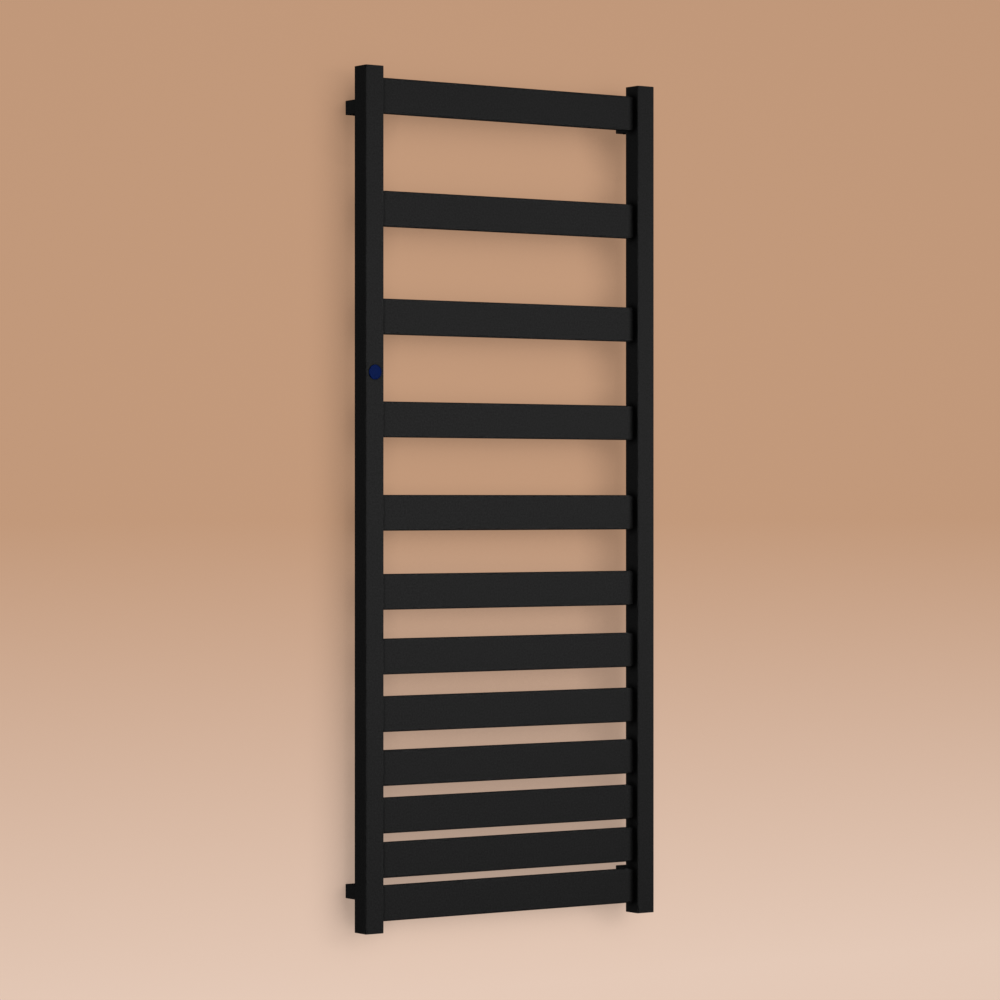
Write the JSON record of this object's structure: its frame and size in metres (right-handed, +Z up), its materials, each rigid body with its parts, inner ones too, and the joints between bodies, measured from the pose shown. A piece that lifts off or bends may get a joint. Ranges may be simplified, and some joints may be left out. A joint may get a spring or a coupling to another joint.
{
  "type": "towel warmer rack",
  "caption": "Wall-hung towel warmer: square posts joined by flat hollow bars, spaced wider towards the top, on square wall sleeves that slide over screwed-down shoes.",
  "frame": {"origin": "on the wall plane, at the centre of the four wall screws, which is also the middle of the rack's width and height", "axes": "+X along the wall to the right as seen from the room, +Y into the wall, +Z up"},
  "size_m": [0.5, 0.061, 1.203],
  "materials": {
    "black_powder_coat": "matt black powder coat with a very fine texture, on welded steel tube",
    "shoe_alloy": "plain cast and tumbled",
    "blackened_steel": "black oxide",
    "blue_enamel": "smooth deep blue, slightly glossy, blank",
    "seal_rubber": "matt",
    "nickel_brass": "nickel-plated, satin",
    "white_plastic": "moulded, satin",
    "plain_brass": "turned"
  },
  "bodies": {
    "wall_fixing": {"top_left_wall_shoe": "shoe_alloy", "top_right_wall_shoe": "shoe_alloy", "bottom_left_wall_shoe": "shoe_alloy", "bottom_right_wall_shoe": "shoe_alloy"},
    "rack": {"left_post": "black_powder_coat", "right_post": "black_powder_coat", "left_post_cap": "black_powder_coat", "right_post_cap": "black_powder_coat", "left_connection_socket": "black_powder_coat", "right_connection_socket": "black_powder_coat", "bar_01": "black_powder_coat", "bar_02": "black_powder_coat", "bar_03": "black_powder_coat", "bar_04": "black_powder_coat", "bar_05": "black_powder_coat", "bar_06": "black_powder_coat", "bar_07": "black_powder_coat", "bar_08": "black_powder_coat", "bar_09": "black_powder_coat", "bar_10": "black_powder_coat", "bar_11": "black_powder_coat", "bar_12": "black_powder_coat", "top_left_wall_sleeve": "black_powder_coat", "top_right_wall_sleeve": "black_powder_coat", "bottom_left_wall_sleeve": "black_powder_coat", "bottom_right_wall_sleeve": "black_powder_coat", "set_screws": "blackened_steel", "badge": "blue_enamel", "vent_bush": "black_powder_coat", "vent_gasket": "seal_rubber", "vent_plug": "nickel_brass"},
    "outlet_collar": {"vent_outlet": "white_plastic"},
    "bleed_valve_screw": {"bleed_screw": "plain_brass"}
  },
  "joints": [
    {"name": "rack_depth_slide", "type": "slide", "parent": "wall_fixing", "child": "rack", "axis": [0, -1, 0], "range_m": [0, 0.012]},
    {"name": "outlet_collar_swivel", "type": "hinge", "parent": "rack", "child": "outlet_collar", "pos_m": [0.235, -0.02, 0.5735], "axis": [0, 1, 0], "continuous": true},
    {"name": "bleed_screw_turn", "type": "hinge", "parent": "rack", "child": "bleed_valve_screw", "pos_m": [0.235, -0.015, 0.5735], "axis": [0, 1, 0], "range_deg": [0, 180]}
  ]
}
